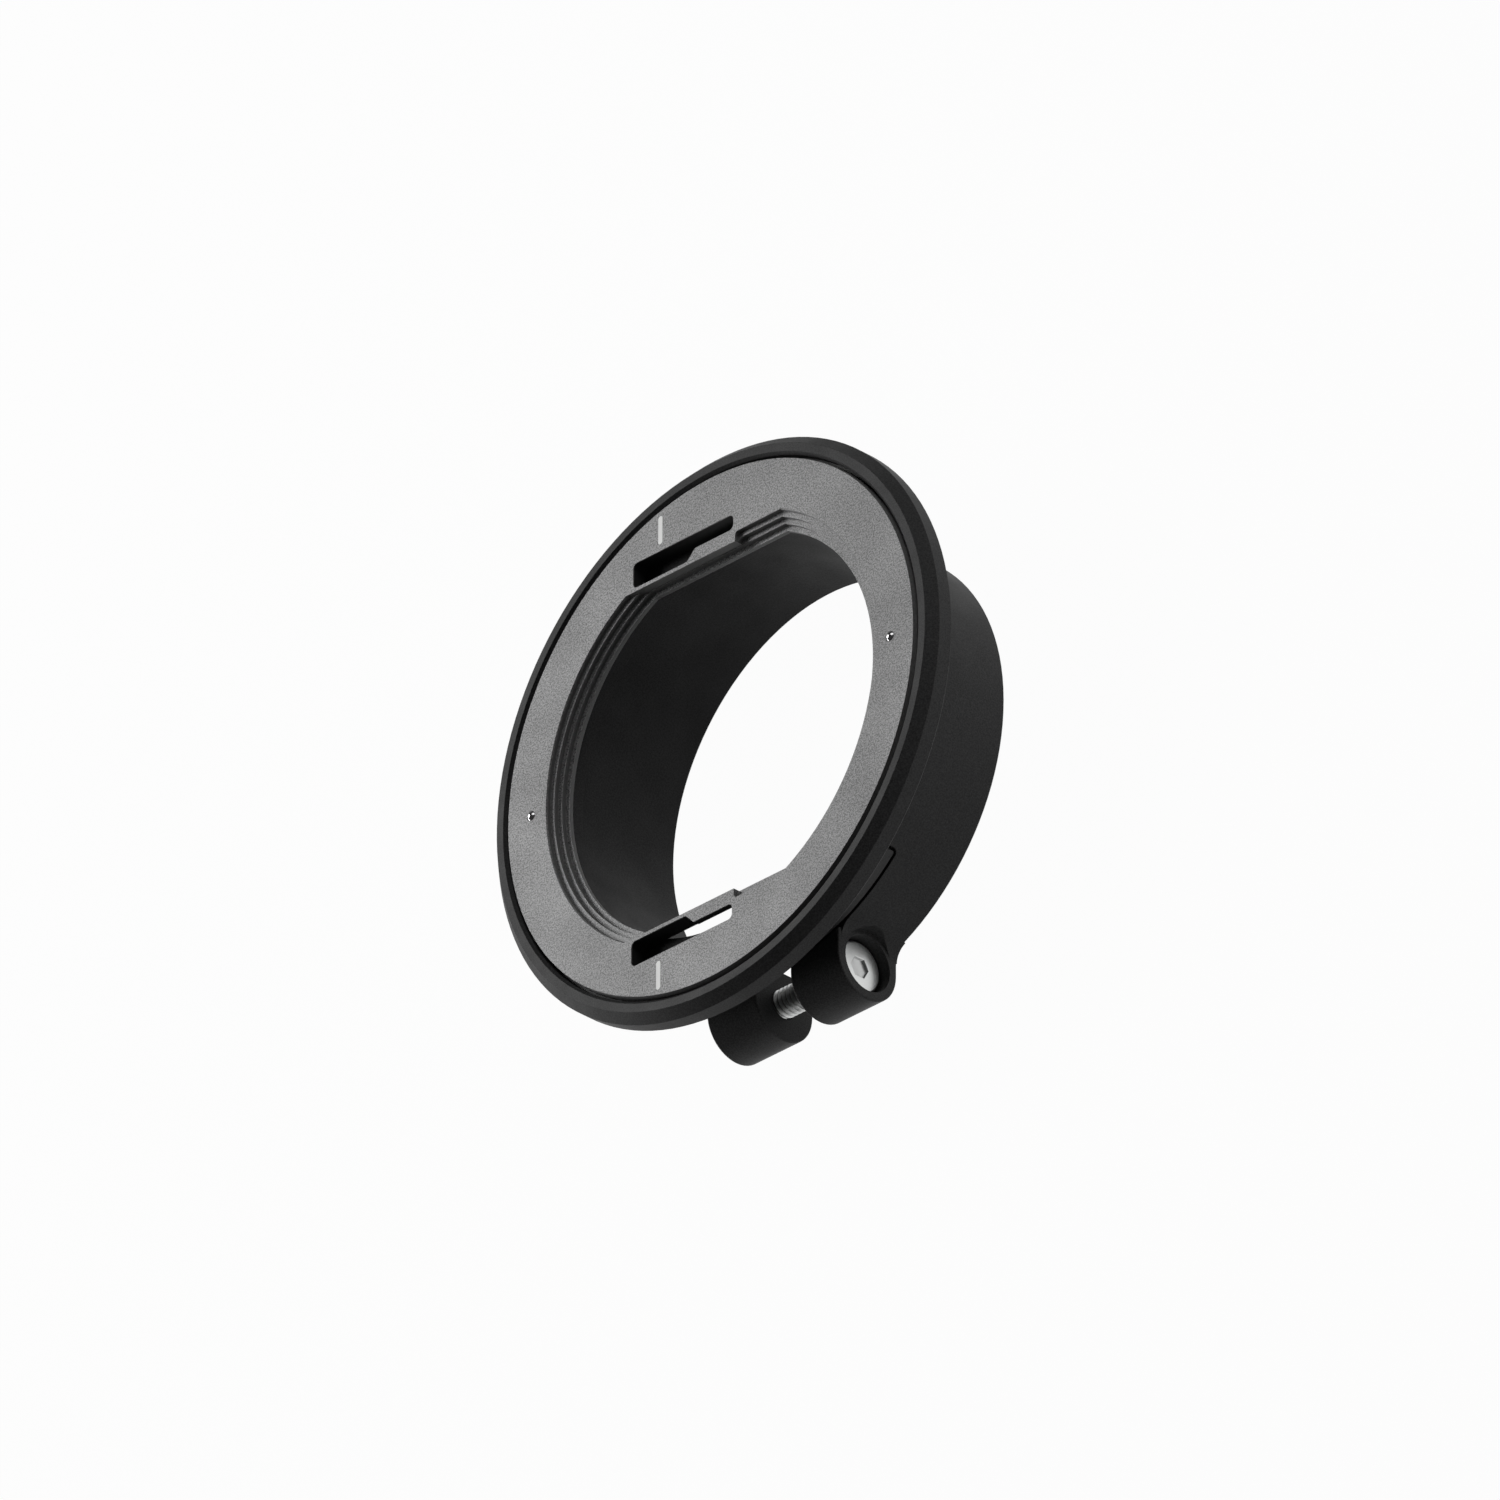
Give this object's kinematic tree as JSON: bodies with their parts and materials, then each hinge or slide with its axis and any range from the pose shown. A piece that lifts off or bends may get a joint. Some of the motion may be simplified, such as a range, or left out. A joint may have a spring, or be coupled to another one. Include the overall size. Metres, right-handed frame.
{
  "type": "phone lens filter adapter",
  "caption": "Round clamp-on adapter for a phone lens: a split barrel drawn in by a cross screw, and a grey front plate with hook slots and sprung balls that hold a filter.",
  "frame": {"origin": "centre of the barrel's rear rim", "axes": "+Z along the optical axis, from the rear rim to the front plate; the clamp lugs stand out towards -Y, and the screw's head faces +X"},
  "size_m": [0.0606, 0.0606, 0.0168],
  "materials": {
    "black_anodised": "fine matte black anodised",
    "grey_blasted": "bead-blasted grey anodised",
    "white_enamel": "white enamel in an engraved line",
    "screw_steel": "plain stainless steel",
    "ball_steel": "polished bearing steel",
    "spring_steel": "drawn spring wire"
  },
  "bodies": {
    "adapter": {"clamp_body": "black_anodised", "face_plate": "grey_blasted", "index_lines": "white_enamel", "detent_spring_left": "spring_steel", "detent_spring_right": "spring_steel"},
    "screw": {"clamp_screw": "screw_steel"},
    "left_ball": {"detent_ball_left": "ball_steel"},
    "right_ball": {"detent_ball_right": "ball_steel"}
  },
  "joints": [
    {"name": "screw_turn", "type": "hinge", "parent": "adapter", "child": "screw", "pos_m": [0, -0.0247, 0.00395], "axis": [1, 0, 0], "continuous": true},
    {"name": "left_ball_press", "type": "slide", "parent": "adapter", "child": "left_ball", "axis": [0, 0, -1], "range_m": [0, 0.00035], "stiffness_N_per_m": 250, "deforming": ["detent_spring_left"]},
    {"name": "right_ball_press", "type": "slide", "parent": "adapter", "child": "right_ball", "axis": [0, 0, -1], "range_m": [0, 0.00035], "stiffness_N_per_m": 250, "deforming": ["detent_spring_right"]}
  ]
}
